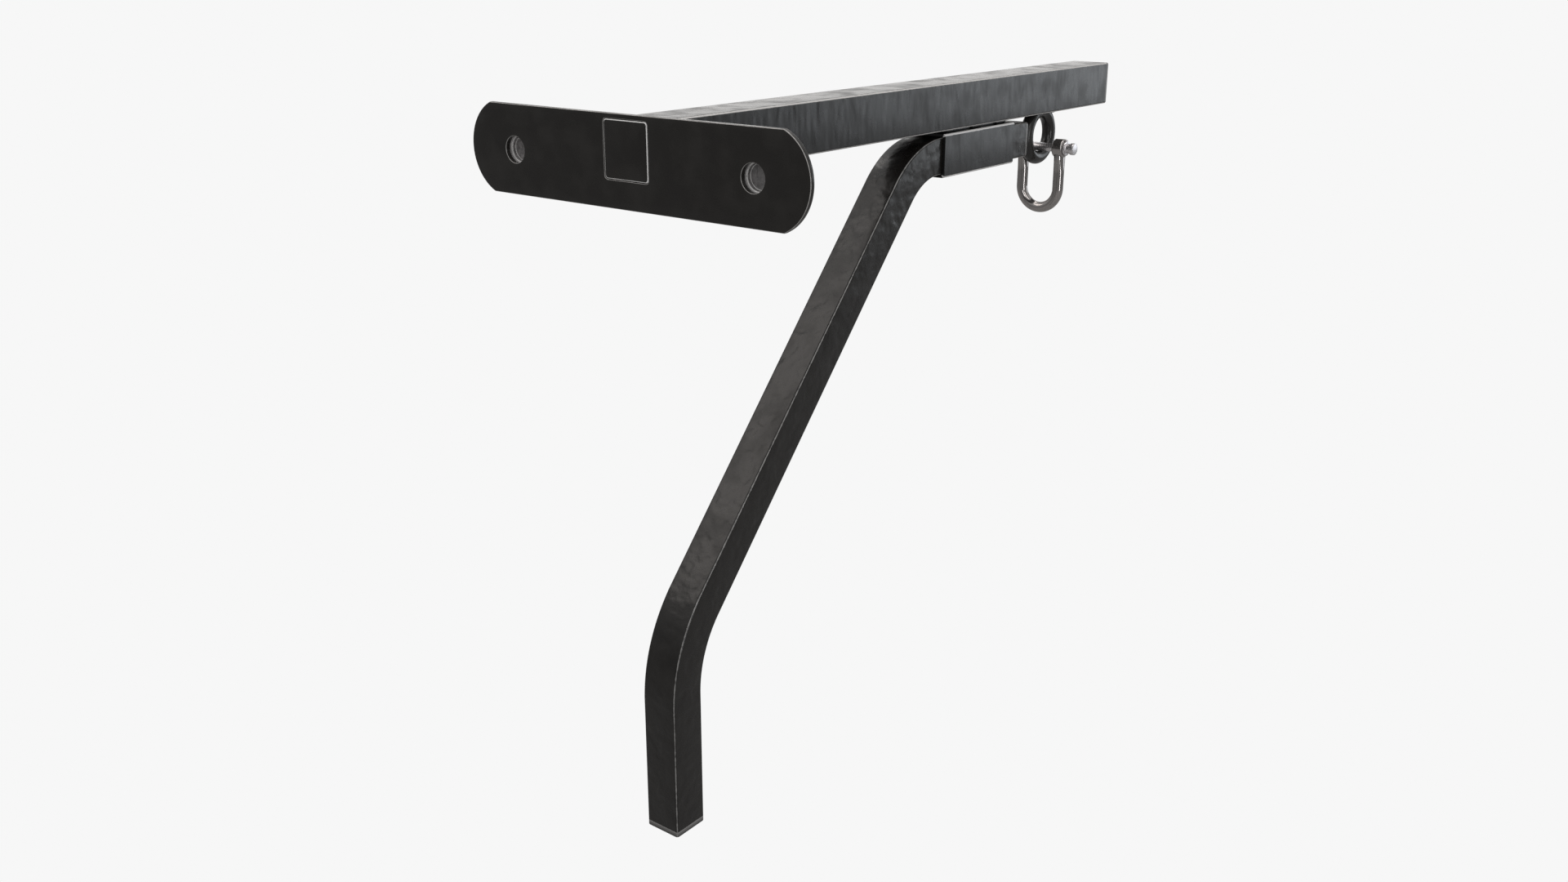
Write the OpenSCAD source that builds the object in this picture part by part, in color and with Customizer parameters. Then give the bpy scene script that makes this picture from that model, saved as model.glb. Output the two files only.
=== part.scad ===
// Wall bracket for hanging an uppercut bag.
// A box-section arm is welded to a wall plate and propped by a bent box-section strut, which slides
// in a sleeve under the arm. A shackle hangs from the eye ring near the arm's free end.
// Frame: the wall is the plane Y = 0, the arm runs along -Y, +Z is up. The origin is midway between
// the two bolt holes, on the plate's back face.

/* [Wall plate] */
// Length of the plate, end to end
plate_l = 388; // [340:2:480]
// Height of the plate
plate_h = 80; // [80:1:110]
// Thickness of the plate
plate_t = 5; // [4:0.5:8]
// How much the radius of the rounded ends exceeds half the height
end_extra = 3.5; // [0:0.5:30]
// Distance between the two bolt holes
hole_spacing = 274; // [200:2:290]
// Bolt hole diameter
hole_d = 24; // [12:0.5:26]
// Height of the arm's centre above the bolt holes
arm_rise = 10; // [0:1:10]

/* [Arm] */
// Side of the arm's square section
arm_w = 50; // [42:1:52]
// Wall of the arm's section
arm_wall = 3; // [2:0.5:4]
// Outer corner radius of the arm's section
arm_corner_r = 2.5; // [1:0.5:4]
// Distance from the wall to the eye ring
ring_reach = 713; // [590:1:900]
// Length of arm past the eye ring
arm_overhang = 129; // [60:1:200]
// Thickness of the steel plate that closes the arm at the wall
root_t = 3; // [2:0.5:5]
// Gap round the arm in the plate's square window
window_gap = 0.5; // [0.3:0.1:1.5]

/* [Strut] */
// Side of the strut's square section
strut_w = 40; // [32:1:48]
// Wall of the strut's section
strut_wall = 2; // [1.5:0.5:3]
// Outer corner radius of the strut's section
strut_corner_r = 2.5; // [1:0.5:4]
// Distance from the strut's foot up to the bolt holes
strut_drop = 662; // [580:1:800]
// Distance from the wall to the back of the foot
foot_setback = 18; // [5:1:40]
// Straight length of tube above the foot cap
foot_straight = 139; // [80:1:200]
// Bend radius above the foot, to the centreline
lower_bend_r = 130; // [80:1:200]
// Bend radius below the sleeve, to the centreline
upper_bend_r = 88; // [60:1:120]
// Length of strut past the sleeve's far end, cap included
strut_tail = 39; // [20:1:45]

/* [Sleeve] */
// Length of the sleeve
sleeve_l = 149; // [110:1:180]
// Wall of the sleeve
sleeve_wall = 3; // [2:0.5:4]
// Gap between the strut and the sleeve's inside, each side
sleeve_clear = 0.5; // [0.3:0.1:1]
// Distance from the sleeve's far end to the eye ring
sleeve_to_ring = 100; // [85:1:130]
// Straight strut showing before the sleeve's mouth
mouth_gap = 4; // [1:0.5:20]
// Thickness of the bar between the sleeve and the arm
spacer_t = 3.5; // [3:0.5:8]
// Width of that bar
spacer_w = 30; // [16:1:34]

/* [End caps] */
// Flange thickness of the caps on the arm and on the strut's upper end
cap_t = 4; // [3:0.5:6]
// Flange thickness of the strut's foot cap
foot_cap_t = 6; // [4:0.5:10]
// Depth of the plug inside a tube
cap_plug = 18; // [12:1:30]
// Wall of the plug
cap_wall = 2.5; // [2:0.5:4]
// Gap round the plug inside the tube
cap_gap = 0.2; // [0.1:0.1:0.5]
// Outer corner radius of the cap on the strut's upper end
strut_cap_r = 4; // [2:0.5:6]

/* [Bolt covers] */
// Outer diameter of a cover's flange
cover_flange_d = 34; // [32:1:44]
// Thickness of the flange
cover_flange_t = 1.5; // [1:0.5:3]
// Depth of the cup's inside, in front of the plate
cover_depth = 5.4; // [3:0.2:12]
// Gap between the hole's edge and the cup's mouth, on the radius
cover_gap = 0.25; // [0.1:0.05:1]
// Taper of the cup on the radius
cover_taper = 1; // [0.5:0.5:2]
// Wall of the cup
cover_wall = 2; // [1.5:0.5:3]

/* [Clamp screws] */
// Screw shank diameter
screw_d = 10; // [6:1:12]
// Running gap between a thread and its screw, on the radius
thread_gap = 0.05; // [0.02:0.01:0.1]
// Nut and screw head width across flats
screw_af = 17; // [13:1:19]
// Weld nut height
nut_t = 8; // [6:0.5:12]
// Screw head height
head_t = 6.5; // [4:0.5:10]
// Free shank between the nut and the head
screw_free = 7; // [6:0.5:14]
// Distance of each screw from the sleeve's nearer end
screw_inset = 34; // [20:1:50]
// Gap between a screw's tip and the strut
tip_gap = 0.2; // [0.1:0.1:0.5]

/* [Eye ring] */
// Bar diameter of the ring
ring_bar_d = 16; // [12:0.5:20]
// Radius of the ring, to the bar's centre
ring_r = 27.5; // [24:0.5:32]
// How far the bar's centreline sits below the arm
ring_seat = 1; // [0:0.5:4]
// Length of the ring's weld past the ring, each way
ring_weld_over = 8; // [3:1:14]
// Height of the ring's weld collar
ring_weld_h = 3.5; // [2:0.5:6]
// Width of the ring's weld collar
ring_weld_w = 3.5; // [2:0.5:6]

/* [Shackle] */
// Bar diameter of the bow
bow_d = 13; // [10:0.5:16]
// Running gap of the pin in the ears, on the radius
pin_fit = 0.05; // [0.02:0.01:0.1]
// Distance between the centres of the bow's legs
bow_pitch = 49; // [44:0.5:60]
// Distance from the pin's centre to the bottom of the bow
bow_drop = 80; // [70:1:110]
// Radius of the ears round the pin
ear_r = 11; // [9:0.5:14]
// Thickness of an ear
ear_t = 13; // [9:0.5:14]
// Pin diameter
pin_d = 10; // [8:0.5:12]
// Gap between the pin and the bottom of the eye ring
pin_gap = 0.3; // [0.2:0.1:1]
// Length of pin standing out of the far ear
pin_out = 1; // [0.5:0.5:6]
// Gap between the collar and the ear
collar_gap = 0.3; // [0.2:0.1:1]
// Sideways place of the shackle on the ring
bow_shift = -7; // [-8:0.5:8]
// Collar diameter of the pin
collar_d = 17; // [14:0.5:22]
// Collar thickness
collar_t = 2.5; // [2:0.5:4]
// Neck diameter between collar and head
neck_d = 11.5; // [10.5:0.5:14]
// Neck length
neck_l = 5; // [4:0.5:12]
// Head diameter of the pin
pin_head_d = 14; // [12:0.5:18]
// Head thickness of the pin
pin_head_t = 5.5; // [3:0.5:10]

/* [Welds] */
// Leg of the fillet weld round the arm
weld_leg = 4; // [3:0.5:4]
// Length of each weld stitch beside the sleeve's bar
stitch_l = 22; // [12:1:30]

/* [Hidden] */
$fn = 64;
over = 1;
// Each straight length of the strut laps over the bend next to it, whose wall is a hair thinner.
lap = 0.5;
bend_relief = 0.02;
paint = "#2b2a29";
weld_paint = "#222120";
plastic = "#171717";
cup = "#4a4540";
zinc = "#9a9a96";
bright = "#b8bcc0";

end_r = plate_h / 2 + end_extra;
end_x = plate_l / 2 - end_r;
window_w = arm_w + 2 * window_gap;
window_r = arm_corner_r + window_gap;

arm_reach = ring_reach + arm_overhang;
arm_tube_end = arm_reach - cap_t;
arm_bottom = arm_rise - arm_w / 2;
plug_r = 1;

// Smallest inner corner radius of a tube.
inner_r = 0.5;
sleeve_corner_r = 3;
sleeve_in = strut_w + 2 * sleeve_clear;
sleeve_in_r = strut_corner_r + sleeve_clear;
sleeve_w = sleeve_in + 2 * sleeve_wall;
sleeve_z = arm_bottom - spacer_t - sleeve_w / 2;
sleeve_end = ring_reach - sleeve_to_ring;
sleeve_mouth = sleeve_end - sleeve_l;
spacer_inset = 10;
spacer_l = sleeve_l - 2 * spacer_inset;
stitch_pitch = (spacer_l - stitch_l) / 2;
stitch_leg = 3;
stitch_throat = 1.2;

// The leaning run is the common tangent of the two bend circles.
strut_in_r = max(strut_corner_r - strut_wall, inner_r);
strut_y = foot_setback + strut_w / 2;
strut_tube_end = sleeve_end + strut_tail - cap_t;
foot_tube_z = foot_cap_t - strut_drop;
radius_drop = lower_bend_r - upper_bend_r;
head_l = strut_tube_end - sleeve_mouth + mouth_gap;
lower_y = -strut_y - lower_bend_r;
upper_y = mouth_gap - sleeve_mouth;
lower_z = foot_tube_z + foot_straight;
step_y = upper_y - lower_y;
step_z = sleeve_z - upper_bend_r - lower_z;
run_l = sqrt(step_y * step_y + step_z * step_z - radius_drop * radius_drop);
lean = atan2(step_z, step_y) - atan2(run_l, radius_drop);

ring_z = arm_bottom - ring_seat - ring_r;
ring_out = ring_r + ring_bar_d / 2;
flat_y = sqrt(ring_out * ring_out - (arm_bottom - ring_z) * (arm_bottom - ring_z));
pin_z = ring_z - ring_r + ring_bar_d / 2 + pin_gap + pin_d / 2;
bow_z = pin_z - bow_drop + (bow_pitch + bow_d) / 2;
ear_face = (bow_pitch + max(ear_t, bow_d)) / 2;

screw_tip_x = strut_w / 2 + tip_gap;
nut_x = sleeve_w / 2;
head_x = nut_x + nut_t + screw_free;
screw_y = [-sleeve_mouth - screw_inset, -sleeve_end + screw_inset];

// Square with rounded corners, centred.
module round_square(w, r) {
  square([w - 2 * r, w], center = true);
  square([w, w - 2 * r], center = true);
  for (x = [-1, 1], y = [-1, 1])
    translate([x * (w / 2 - r), y * (w / 2 - r)])
      circle(r);
}

// Turns +Z to point away from the wall, from the given distance.
module outward(d) {
  translate([0, -d, 0])
    rotate([90, 0, 0])
      children();
}

// Turns +Z to point along +X, from the given place.
module sideways(x, y, z) {
  translate([x, y, z])
    rotate([0, 90, 0])
      children();
}

// Lays a shape drawn in X and Y into the side plane, in Y and Z.
module side_plane() {
  rotate([90, 0, 90])
    children();
}

// Extrudes a flat shape along +Y.
module along_y(l) {
  rotate([-90, 0, 0])
    linear_extrude(l)
      children();
}

// Straight square tube along +Z.
module box_tube(w, r, wall, in_r, l) {
  difference() {
    linear_extrude(l)
      round_square(w, r);
    translate([0, 0, -over])
      linear_extrude(l + 2 * over)
        round_square(w - 2 * wall, in_r);
  }
}

// End cap: the flange lies on +Z, the hollow plug goes down into the tube.
module tube_cap(w, r, wall, t) {
  plug_w = w - 2 * wall - 2 * cap_gap;
  linear_extrude(t)
    round_square(w, r);
  translate([0, 0, -cap_plug])
    difference() {
      linear_extrude(cap_plug)
        round_square(plug_w, plug_r);
      translate([0, 0, -over])
        linear_extrude(cap_plug)
          round_square(plug_w - 2 * cap_wall, inner_r);
    }
}

module wall_plate() {
  color(paint)
    difference() {
      intersection() {
        translate([-plate_l / 2 - over, -plate_t, -plate_h / 2])
          cube([plate_l + 2 * over, plate_t, plate_h]);
        union() {
          translate([-end_x, -plate_t - over, -plate_h / 2 - over])
            cube([2 * end_x, plate_t + 2 * over, plate_h + 2 * over]);
          for (side = [-1, 1])
            translate([side * end_x, 0, 0])
              outward(-over)
                cylinder(r = end_r, h = plate_t + 2 * over);
        }
      }
      for (side = [-1, 1])
        translate([side * hole_spacing / 2, 0, 0])
          outward(-over)
            cylinder(d = hole_d, h = plate_t + 2 * over);
      translate([0, 0, arm_rise])
        outward(-over)
          linear_extrude(plate_t + 2 * over)
            round_square(window_w, window_r);
    }
}

module plate_welds() {
  weld_l = arm_w - 2 * arm_corner_r;
  color(weld_paint)
    translate([0, 0, arm_rise])
      for (a = [0, 90, 180, 270])
        rotate([0, a, 0])
          translate([-weld_l / 2, -plate_t, arm_w / 2])
            side_plane()
              linear_extrude(weld_l)
                polygon([[0, 0], [0, weld_leg], [-weld_leg, 0]]);
}

// Cup with a flange that sits on the front of the plate.
module bolt_cover(side) {
  mouth_r = hole_d / 2 + cover_gap;
  floor_r = mouth_r - cover_taper;
  color(cup)
    translate([side * hole_spacing / 2, 0, 0])
      outward(plate_t)
        difference() {
          union() {
            cylinder(d = cover_flange_d, h = cover_flange_t);
            cylinder(r1 = mouth_r + cover_wall, r2 = floor_r + cover_wall, h = cover_depth + cover_wall);
          }
          translate([0, 0, -over])
            cylinder(r = mouth_r, h = over);
          cylinder(r1 = mouth_r, r2 = floor_r, h = cover_depth);
        }
}

module bolt_cover_left() {
  bolt_cover(-1);
}

module bolt_cover_right() {
  bolt_cover(1);
}

module arm_tube() {
  color(paint)
    translate([0, 0, arm_rise])
      outward(root_t)
        box_tube(arm_w, arm_corner_r, arm_wall, inner_r, arm_tube_end - root_t);
}

module arm_root_plate() {
  color(paint)
    translate([0, 0, arm_rise])
      outward(0)
        linear_extrude(root_t)
          round_square(arm_w, arm_corner_r);
}

module arm_end_cap() {
  color(plastic)
    translate([0, 0, arm_rise])
      outward(arm_tube_end)
        tube_cap(arm_w, arm_corner_r, arm_wall, cap_t);
}

module sleeve_tube() {
  color(paint)
    difference() {
      translate([0, 0, sleeve_z])
        outward(sleeve_mouth)
          box_tube(sleeve_w, sleeve_corner_r, sleeve_wall, sleeve_in_r, sleeve_l);
      for (y = screw_y)
        sideways(0, y, sleeve_z)
          cylinder(d = screw_d + 2 * thread_gap, h = sleeve_w);
    }
}

module sleeve_spacer() {
  color(paint)
    translate([-spacer_w / 2, -sleeve_end + spacer_inset, arm_bottom - spacer_t])
      cube([spacer_w, spacer_l, spacer_t]);
}

module sleeve_welds() {
  root = spacer_t;
  bead = [[0, 0], [stitch_leg, 0], [stitch_throat, -root / 2], [stitch_leg, -root], [0, -root]];
  color(weld_paint)
    for (side = [0, 1], i = [-1, 0, 1])
      translate([0, -sleeve_end + sleeve_l / 2 + i * stitch_pitch, arm_bottom])
        mirror([side, 0, 0])
          translate([spacer_w / 2, stitch_l / 2, 0])
            rotate([90, 0, 0])
              linear_extrude(stitch_l)
                polygon(bead);
}

// Hollow section of the strut.
module strut_section(relief) {
  difference() {
    round_square(strut_w - 2 * relief, strut_corner_r);
    round_square(strut_w - 2 * strut_wall + 2 * relief, strut_in_r);
  }
}

// Straight length of the strut's tube along +Y.
module strut_straight(l) {
  along_y(l)
    strut_section(0);
}

// Bend of the strut's tube about +Z, starting along +Y.
module strut_bend(r, angle) {
  rotate_extrude(angle = angle)
    translate([r, 0])
      strut_section(bend_relief);
}

// The foot, the lower bend, the leaning run, the upper bend and the run into the sleeve.
module strut_tube() {
  color(paint)
    side_plane()
      translate([lower_y, lower_z, 0]) {
        translate([lower_bend_r, -foot_straight, 0])
          strut_straight(foot_straight + lap);
        strut_bend(lower_bend_r, lean);
        rotate([0, 0, lean]) {
          translate([lower_bend_r, -lap, 0])
            strut_straight(run_l + 2 * lap);
          translate([radius_drop, run_l, 0]) {
            strut_bend(upper_bend_r, 90 - lean);
            rotate([0, 0, 90 - lean])
              translate([upper_bend_r, -lap, 0])
                strut_straight(head_l + lap);
          }
        }
      }
}

module strut_foot_cap() {
  color(plastic)
    translate([0, -strut_y, foot_tube_z])
      mirror([0, 0, 1])
        tube_cap(strut_w, strut_corner_r, strut_wall, foot_cap_t);
}

module strut_end_cap() {
  color(plastic)
    translate([0, 0, sleeve_z])
      outward(strut_tube_end)
        tube_cap(strut_w, strut_cap_r, strut_wall, cap_t);
}

module clamp_nut(y) {
  color(weld_paint)
    sideways(nut_x, y, sleeve_z)
      difference() {
        cylinder(d = screw_af / cos(30), h = nut_t, $fn = 6);
        translate([0, 0, -over])
          cylinder(d = screw_d + 2 * thread_gap, h = nut_t + 2 * over);
      }
}

module clamp_nut_rear() {
  clamp_nut(screw_y[0]);
}

module clamp_nut_front() {
  clamp_nut(screw_y[1]);
}

module clamp_screw(y) {
  color(zinc) {
    sideways(screw_tip_x, y, sleeve_z)
      cylinder(d = screw_d, h = head_x - screw_tip_x + over);
    sideways(head_x, y, sleeve_z)
      cylinder(d = screw_af / cos(30), h = head_t, $fn = 6);
  }
}

module clamp_screw_rear() {
  clamp_screw(screw_y[0]);
}

module clamp_screw_front() {
  clamp_screw(screw_y[1]);
}

module ring_torus() {
  sideways(0, -ring_reach, ring_z)
    rotate_extrude()
      translate([ring_r, 0])
        circle(d = ring_bar_d);
}

module eye_ring() {
  color(paint)
    difference() {
      ring_torus();
      translate([-ring_bar_d, -ring_reach - ring_out, arm_bottom])
        cube([2 * ring_bar_d, 2 * ring_out, ring_bar_d]);
    }
}

module eye_ring_welds() {
  half_w = ring_bar_d / 2 + ring_weld_w;
  half_l = flat_y + ring_weld_over - half_w;
  color(weld_paint)
    difference() {
      translate([0, -ring_reach, arm_bottom - ring_weld_h])
        linear_extrude(ring_weld_h) {
          square([2 * half_w, 2 * half_l], center = true);
          for (side = [-1, 1])
            translate([0, side * half_l])
              circle(half_w);
        }
      ring_torus();
    }
}

module shackle_bow() {
  color(bright)
    translate([bow_shift, -ring_reach, 0])
      difference() {
        union() {
          for (side = [-1, 1]) {
            translate([side * bow_pitch / 2, 0, bow_z])
              cylinder(d = bow_d, h = pin_z - bow_z);
            sideways(side * bow_pitch / 2 - ear_t / 2, 0, pin_z)
              cylinder(r = ear_r, h = ear_t);
          }
          translate([0, 0, bow_z])
            rotate([90, 0, 0])
              rotate([0, 0, 180])
                rotate_extrude(angle = 180)
                  translate([bow_pitch / 2, 0])
                    circle(d = bow_d);
        }
        sideways(-ear_face - over, 0, pin_z)
          cylinder(d = pin_d + 2 * pin_fit, h = 2 * (ear_face + over));
      }
}

module shackle_pin() {
  collar_x = -ear_face - collar_gap - collar_t;
  head_face_x = collar_x - neck_l - pin_head_t;
  color(bright)
    translate([bow_shift, -ring_reach, 0]) {
      sideways(collar_x, 0, pin_z)
        cylinder(d = pin_d, h = ear_face + pin_out - collar_x);
      sideways(collar_x, 0, pin_z)
        cylinder(d = collar_d, h = collar_t);
      sideways(collar_x - neck_l, 0, pin_z)
        cylinder(d = neck_d, h = neck_l);
      sideways(head_face_x, 0, pin_z)
        cylinder(d = pin_head_d, h = pin_head_t);
    }
}

wall_plate();
plate_welds();
bolt_cover_left();
bolt_cover_right();
arm_tube();
arm_root_plate();
arm_end_cap();
sleeve_tube();
sleeve_spacer();
sleeve_welds();
strut_tube();
strut_foot_cap();
strut_end_cap();
clamp_nut_rear();
clamp_nut_front();
clamp_screw_rear();
clamp_screw_front();
eye_ring();
eye_ring_welds();
shackle_bow();
shackle_pin();
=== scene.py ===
import math

import bmesh
import bpy
import numpy as np
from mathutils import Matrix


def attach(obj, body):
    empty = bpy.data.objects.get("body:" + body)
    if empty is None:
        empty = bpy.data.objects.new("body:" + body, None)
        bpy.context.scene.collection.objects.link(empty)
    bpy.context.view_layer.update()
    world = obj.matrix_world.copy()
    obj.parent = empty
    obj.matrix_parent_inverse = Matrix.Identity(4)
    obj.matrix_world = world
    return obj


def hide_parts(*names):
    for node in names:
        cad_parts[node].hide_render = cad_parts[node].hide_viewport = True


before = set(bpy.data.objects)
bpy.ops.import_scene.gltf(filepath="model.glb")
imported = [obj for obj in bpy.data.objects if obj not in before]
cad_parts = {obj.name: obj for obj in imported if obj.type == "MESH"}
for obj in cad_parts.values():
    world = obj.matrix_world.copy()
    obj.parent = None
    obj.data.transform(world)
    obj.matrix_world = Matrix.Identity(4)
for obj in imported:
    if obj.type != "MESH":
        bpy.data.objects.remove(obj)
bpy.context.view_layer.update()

# ---------------------------------------------------------------- wall plate
# The flat steel plate that is bolted to the wall: laser cut, its edges rubbed round before coating,
# with a round hole near each end and a square window that the arm passes into.
# Lengths of pieces are millimetres, which solid() turns into metres; patterns and the stage are in metres.
PLATE_HALF = (194.0, 40.0)
PLATE_T = 5.0
PLATE_END_R = 43.5
PLATE_EDGE = 1.0
HOLE_X = 137.0
HOLE_R = 12.0
HOLE_EDGE = 0.7
WINDOW_HALF = 25.5
WINDOW_R = 3.0
WINDOW_EDGE = 0.6
ARM_Z = 10.0
SPLIT_X = 66.0
MERGE_WITHIN = 2e-6
THINNEST_EDGE = 1e-7


def quads(grid, wrap_u=False, wrap_v=False, wear_and_highlight=0.0):
    """Points, four-cornered faces and per-point edge weights of a grid of points: scuffing plus a painted
    highlight along rounded edges.
    Each cell joins a point to its next ones along u and v."""
    nu, nv = grid.shape[:2]
    u = np.arange(nu if wrap_u else nu - 1)
    v = np.arange(nv if wrap_v else nv - 1)
    a, b = np.meshgrid(u, v, indexing="ij")
    a2, b2 = (a + 1) % nu, (b + 1) % nv
    faces = np.stack([a * nv + b, a2 * nv + b, a2 * nv + b2, a * nv + b2], -1).reshape(-1, 4)
    return grid.reshape(-1, 3), faces, np.broadcast_to(wear_and_highlight, grid.shape[:2]).reshape(-1)


def solid(name, patches, sharp=35.0):
    """One object made of closed grids: patches joined, doubled points merged, faces turned outwards.
    A point attribute, 0 on a flat and 1 along a rounded edge, marks where materials paint edges lighter:
    partly scuffing, partly a painted highlight."""
    points, faces, wear_and_highlight, start = [], [], [], 0
    for p, f, w in patches:
        points.append(p)
        faces.append(f + start)
        wear_and_highlight.append(w)
        start += len(p)
    mesh = bpy.data.meshes.new(name)
    mesh.from_pydata((np.concatenate(points) / 1000.0).tolist(), [], np.concatenate(faces).tolist())
    wear_highlight_data = mesh.attributes.new("wear_and_highlight", "FLOAT", "POINT")
    wear_highlight_data.data.foreach_set("value", np.concatenate(wear_and_highlight).astype(np.float32))
    b = bmesh.new()
    b.from_mesh(mesh)
    bmesh.ops.remove_doubles(b, verts=b.verts, dist=MERGE_WITHIN)
    bmesh.ops.dissolve_degenerate(b, edges=b.edges, dist=THINNEST_EDGE)
    bmesh.ops.recalc_face_normals(b, faces=b.faces)
    b.to_mesh(mesh)
    b.free()
    mesh.shade_smooth()
    mesh.set_sharp_from_angle(angle=math.radians(sharp))
    piece = bpy.data.objects.new(name, mesh)
    bpy.context.scene.collection.objects.link(piece)
    return piece


class Value:
    """A number or colour inside a material; arithmetic on it adds Math nodes."""

    def __init__(self, finish, socket):
        self.finish = finish
        self.socket = socket

    def _math(self, operation, *terms):
        node = self.finish.node("ShaderNodeMath", {"operation": operation}, dict(enumerate(terms)))
        return node[0]

    def __add__(self, other):
        return self._math("ADD", self, other)

    def __sub__(self, other):
        return self._math("SUBTRACT", self, other)

    def __mul__(self, other):
        return self._math("MULTIPLY", self, other)

    def __rsub__(self, other):
        return self._math("SUBTRACT", other, self)

    __radd__ = __add__
    __rmul__ = __mul__


class Finish:
    """A material of one Principled shader, with its patterns on the piece's own Object coordinates."""

    def __init__(self, name, color, roughness, metallic=0.0, coat=0.0, coat_roughness=0.1, specular=0.5):
        self.material = bpy.data.materials.new(name)
        self.material.use_nodes = True
        self.tree = self.material.node_tree
        self.shader = self.tree.nodes["Principled BSDF"]
        fixed = {"Base Color": (*color, 1.0), "Roughness": roughness, "Metallic": metallic}
        fixed.update({"Coat Weight": coat, "Coat Roughness": coat_roughness, "Specular IOR Level": specular})
        for socket, value in fixed.items():
            self.shader.inputs[socket].default_value = value
        self.place = self.node("ShaderNodeTexCoord")["Object"]

    def node(self, kind, settings=None, inputs=None):
        """Adds a node: its settings first, then its sockets; returns its outputs by name and number."""
        node = self.tree.nodes.new(kind)
        for key, value in (settings or {}).items():
            setattr(node, key, value)
        for key, value in (inputs or {}).items():
            if isinstance(value, Value):
                self.tree.links.new(value.socket, node.inputs[key])
            else:
                node.inputs[key].default_value = value
        outputs = {i: Value(self, s) for i, s in enumerate(node.outputs)}
        outputs.update({s.name: Value(self, s) for s in node.outputs if s.enabled})
        return outputs

    def stretched(self, scale):
        """The piece's place, stretched along each axis."""
        return self.node("ShaderNodeMapping", {}, {"Vector": self.place, "Scale": scale})["Vector"]

    def noise(self, scale, detail=2.0, place=None):
        """Cloudy pattern, scale in cells per metre."""
        inputs = {"Vector": place or self.place, "Scale": scale, "Detail": detail}
        return self.node("ShaderNodeTexNoise", {}, inputs)["Fac"]

    def band(self, value, low, high, to_low=0.0, to_high=1.0):
        """value from low..high carried smoothly to to_low..to_high."""
        settings = {"interpolation_type": "SMOOTHSTEP"}
        inputs = {"Value": value, "From Min": low, "From Max": high, "To Min": to_low, "To Max": to_high}
        return self.node("ShaderNodeMapRange", settings, inputs)["Result"]

    def mix(self, factor, a, b):
        """Colour a where factor is 0 and colour b where it is 1."""
        node = self.node("ShaderNodeMix", {"data_type": "RGBA"}, {0: factor})
        mixer = self.tree.nodes[-1]
        for key, value in ((6, a), (7, b)):
            if isinstance(value, Value):
                self.tree.links.new(value.socket, mixer.inputs[key])
            else:
                mixer.inputs[key].default_value = (*value, 1.0)
        return node[2]

    def drive(self, **sockets):
        """Feeds the shader's sockets, spaces written as underscores."""
        for key, value in sockets.items():
            self.tree.links.new(value.socket, self.shader.inputs[key.replace("_", " ")])

    def bump(self, *layers):
        """Each layer is (height, strength, depth in metres); the last one feeds the shader's Normal."""
        normal = None
        for height, strength, depth in layers:
            inputs = {"Height": height, "Strength": strength, "Distance": depth}
            if normal is not None:
                inputs["Normal"] = normal
            normal = self.node("ShaderNodeBump", {}, inputs)["Normal"]
        self.drive(Normal=normal)


def powder_coat(name, color, roughness, streak=(1.0, 1.0, 1.0), dent=0.5,
                edge=(0.13, 0.126, 0.12), wear_highlight_range=(0.66, 0.92)):
    """Satin black powder coat over steel: shallow dents drawn out along the axis where streak is least,
    orange peel, and dull patches. Along marked edges the tone goes over to the edge colour through the given
    range: partly scuffing, partly a painted highlight."""
    coat = Finish(name, color, roughness, coat=0.06, coat_roughness=0.15, specular=0.36)
    drawn = coat.stretched(streak)
    dents = coat.noise(105.0, 2.5, drawn)
    hollows = coat.band(coat.noise(62.0, 1.0, drawn), 0.30, 0.62)
    peel = coat.noise(420.0, 1.5)
    patch = coat.band(coat.noise(34.0, 4.0), 0.42, 0.70)
    # Painted highlight and scuffing: the marked edges are painted toward the edge colour.
    wear_and_highlight = coat.node("ShaderNodeAttribute", {"attribute_name": "wear_and_highlight"})["Fac"]
    wear_highlight = coat.band(wear_and_highlight + (coat.noise(240.0, 3.0) - 0.5) * 0.35, *wear_highlight_range)
    tone = coat.mix(patch * 0.6, color, tuple(c * 1.35 + 0.001 for c in color))
    tone = coat.mix(wear_highlight * 0.85, tone, edge)
    coat.drive(Base_Color=tone, Roughness=patch * 0.14 + (roughness - 0.06) - wear_highlight * 0.06)
    coat.bump((hollows, dent, 0.00035), (dents, dent, 0.00035), (peel, 0.25, 0.00008))
    return coat.material


def corner_wear_and_highlight(steps=10):
    """Edge weight along an outline, for scuffing plus a painted highlight: 1 at the middle of each round
    corner, falling to 0 where the flats begin.
    """
    return np.tile(np.sin(2 * np.linspace(0.0, math.pi / 2, steps)), 4)


def outline(half, r, steps=10):
    """Closed loop of a rectangle with round corners, from half sizes: quarter circles at the four corners."""
    turn = np.linspace(0.0, math.pi / 2, steps)
    corners = []
    for k, (sx, sz) in enumerate(((1, 1), (-1, 1), (-1, -1), (1, -1))):
        a = turn + k * math.pi / 2
        centre = np.array([sx * (half[0] - r), sz * (half[1] - r)])
        corners.append(centre + r * np.stack([np.cos(a), np.sin(a)], -1))
    return np.concatenate(corners)


def edge_profile(edge, thickness, steps=5):
    """Rounded edge of a plate, as (inset, depth) pairs from the back face round to the front face."""
    a = np.linspace(0.0, math.pi / 2, steps)
    back = np.stack([edge * (1 - np.sin(a)), edge * (1 - np.cos(a))], -1)
    front = np.stack([back[::-1, 0], thickness - back[::-1, 1]], -1)
    return np.concatenate([back, front])


def edge_wear_and_highlight(steps=5):
    """Edge weight down an edge profile, for scuffing plus a painted highlight, as a column for a grid: 1 at
    the middle of each of its two round edges.
    """
    return np.tile(np.sin(2 * np.linspace(0.0, math.pi / 2, steps)), 2)[:, None]


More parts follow.
